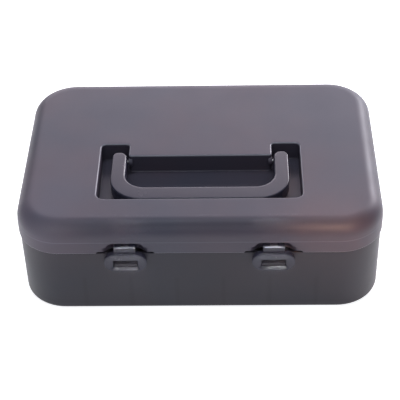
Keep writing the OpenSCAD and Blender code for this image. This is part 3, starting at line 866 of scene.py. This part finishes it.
def tray_partition(shape, floor, half_x):
    """The long wall, in two lengths with a grip between them."""
    top, grip_top = TRAY_TOP - 1, TRAY_HIGH.z
    gap_half, post_out = 30.0, 38.0

    def wall(x0, x1, z1):
        section = rectangle(PARTITION_Y - 1, PARTITION_Y + 1, floor - 0.3, z1)
        shape.prism(along_x, filleted(section, [0.1, 0.1, 0.8, 0.8]), x0, x1, 0.2)

    wall(-half_x, -gap_half - 1, top)
    wall(gap_half + 1, half_x, top)
    wall(-gap_half - 2, gap_half + 2, floor + 3.2)
    # posts and bar of the grip, as one bail
    for s in (-1, 1):
        x0, x1 = sorted((s * gap_half, s * post_out))
        post = filleted(rectangle(x0, x1, PARTITION_Y - 3, PARTITION_Y + 3), [2] * 4)
        shape.prism(along_z, post, floor - 0.3, grip_top - 3, 0.3)
    bar = rectangle(PARTITION_Y - 4, PARTITION_Y + 4, grip_top - 8, grip_top)
    shape.prism(along_x, filleted(bar, [3.2] * 4), -post_out, post_out, 2.4, 5)


def divider_piece(name, body):
    """A loose plate with a thumb notch, of the CAD plate's size."""
    low, high = corners(name)
    r, notch = 1.5, 7.0 if body == "tray" else 10.0
    y0, y1, z0, z1 = low.y + r, high.y - r, low.z + r, high.z - r
    middle, top = (low.y + high.y) / 2, high.z
    outline = arc(y0, z0, r, 180, 270, 4) + arc(y1, z0, r, -90, 0, 4) + arc(y1, z1, r, 0, 90, 4)
    outline += [(middle + notch + 1.2, top), (middle + notch + 0.5, top - 0.3)]
    outline += arc(middle, top - 0.9, notch, 0, -180, 16)
    outline += [(middle - notch - 0.5, top - 0.3), (middle - notch - 1.2, top)]
    outline += arc(y0, z1, r, 90, 180, 4)
    shape = Shape()
    shape.prism(along_x, outline, low.x, high.x, 0.3)
    shape.build(name + "_plate", TRAY_PLASTIC, body, name)


# ---------------------------------------------------------------- build

LID_PLASTIC = moulded("lid_plastic", (0.046, 0.046, 0.066), (0.072, 0.049, 0.062), 0.46,
                      clouds=0.6, lips=True)
BASE_PLASTIC = moulded("base_plastic", (0.019, 0.0185, 0.028), (0.031, 0.020, 0.024), 0.44,
                       ribs=True)
FITTING_PLASTIC = moulded("fitting_plastic", (0.026, 0.026, 0.042), (0.036, 0.030, 0.04), 0.25,
                          wear=0.02)
TRAY_PLASTIC = moulded("tray_plastic", (0.085, 0.08, 0.094), (0.093, 0.084, 0.092), 0.44)
STEEL = drawn_steel("pin_steel")

lid_piece()
base_piece()
handle_piece()
for side in (-1, 1):
    latch_piece(side)
tray_piece()
for body in ("tray", "base"):
    for name in frame["nodes"]:
        if name.startswith(body + "_divider_"):
            divider_piece(name, body)
for name, node in frame["nodes"].items():
    if "_pin_" in name:
        node.data.materials.clear()
        node.data.materials.append(STEEL)


# ---------------------------------------------------------------- camera, floor and light

def aim(thing, right, up):
    """Turns a camera so that its picture's right and up run along these directions."""
    back = right.cross(up)
    rows = Matrix((right, up, back)).transposed()
    thing.rotation_euler = rows.to_euler()


CAMERA_PLACE = (25.25, -811.26, 729.33)                  # in millimetres
PITCH, YAW, ROLL = 0.7095555, -0.0329328, 0.0293413      # in radians
LENS = 113.06
FLOOR_HALF = 20.0                                        # in metres


def photo_camera():
    """The camera, which looks down by PITCH and is turned by YAW and rolled by ROLL."""
    data = bpy.data.cameras.new("camera")
    data.sensor_width = 36
    data.lens = LENS
    camera = bpy.data.objects.new("camera", data)
    bpy.context.scene.collection.objects.link(camera)
    bpy.context.scene.camera = camera
    camera.location = Vector(CAMERA_PLACE) * MM
    forward = Vector((math.sin(YAW) * math.cos(PITCH), math.cos(YAW) * math.cos(PITCH),
                      -math.sin(PITCH)))
    level = Vector((math.cos(YAW), -math.sin(YAW), 0))
    down = forward.cross(level)
    picture_right = level * math.cos(ROLL) + down * math.sin(ROLL)
    picture_down = down * math.cos(ROLL) - level * math.sin(ROLL)
    aim(camera, picture_right, -picture_down)


def pale_floor():
    """A matt white floor that glows a little, so that its far parts stay pale too."""
    mesh = bpy.data.meshes.new("floor")
    square = rectangle(-FLOOR_HALF, FLOOR_HALF, -FLOOR_HALF, FLOOR_HALF)
    mesh.from_pydata([(x, y, 0) for x, y in square], [], [(0, 1, 2, 3)])
    piece = bpy.data.objects.new("floor", mesh)
    bpy.context.scene.collection.objects.link(piece)
    paper = bpy.data.materials.new("paper")
    paper.use_nodes = True
    shader = paper.node_tree.nodes["Principled BSDF"]
    shader.inputs["Base Color"].default_value = (0.9, 0.9, 0.9, 1)
    shader.inputs["Roughness"].default_value = 0.9
    shader.inputs["Emission Color"].default_value = (1, 1, 1, 1)
    shader.inputs["Emission Strength"].default_value = 0.8
    mesh.materials.append(paper)


def sky():
    """A faint cool light from all sides."""
    world = bpy.data.worlds.new("studio")
    bpy.context.scene.world = world
    world.use_nodes = True
    background = world.node_tree.nodes["Background"]
    background.inputs["Color"].default_value = (0.8, 0.88, 1, 1)
    background.inputs["Strength"].default_value = 0.2


def softbox(name, place, target, size, power, colour=(1, 1, 1), beam=math.pi):
    """A soft rectangular light at place, facing target, in metres, watts and radians."""
    data = bpy.data.lights.new(name, "AREA")
    data.shape = "RECTANGLE"
    data.size, data.size_y = size
    data.energy = power
    data.color = colour
    data.spread = beam
    light = bpy.data.objects.new(name, data)
    bpy.context.scene.collection.objects.link(light)
    light.location = place
    light.rotation_euler = (Vector(target) - Vector(place)).to_track_quat("-Z", "Y").to_euler()


photo_camera()
pale_floor()
sky()

CASE = (0, 0, 0.08)
softbox("backdrop", (0.4, 1.7, 0.93), (0, 0, 0.05), (3.4, 1.1), 52, (1, 0.9, 0.98))
softbox("overhead", (-0.06, 0.1, 1.6), CASE, (1.0, 0.12), 7.5, (0.84, 0.9, 1))
softbox("right_back", (0.95, 1.2, 0.7), CASE, (0.45, 0.4), 13, (0.95, 0.93, 1))
softbox("right_low", (1.3, 1.1, 0.25), CASE, (0.6, 0.4), 3, (0.97, 0.94, 1))
softbox("left_back", (-1.2, 1.1, 0.35), CASE, (0.8, 0.6), 1.5, (0.97, 0.94, 1))
softbox("front", (0.1, -1.4, 1.5), CASE, (1.6, 1.0), 9.5, (0.9, 0.94, 1))
# two small lights on the lid's front corners, the right one warm
softbox("warm", (0.205, -0.42, 0.395), (0.104, -0.09, 0.084), (0.03, 0.03), 0.011,
        (1, 0.55, 0.33), beam=0.2)
softbox("left_front", (-0.26, -0.4, 0.34), (-0.13, -0.08, 0.085), (0.03, 0.03), 0.008,
        beam=0.25)
# glints on each latch: on the lower bevel of its window and along the top of its neck
for side in (-1, 1):
    latch = Vector((side * LATCH_X, LATCH_LOW.y, WINDOW_Z)) * MM
    for part, rise, power in (("bevel", 42, 0.001), ("neck", 99, 0.0008)):
        toward = Vector((0, -math.cos(math.radians(rise)), math.sin(math.radians(rise))))
        softbox(f"glint_{part}_{side}", latch + toward * 0.6, latch, (0.02, 0.02), power,
                beam=0.08)
bpy.context.scene.view_settings.view_transform = "Standard"
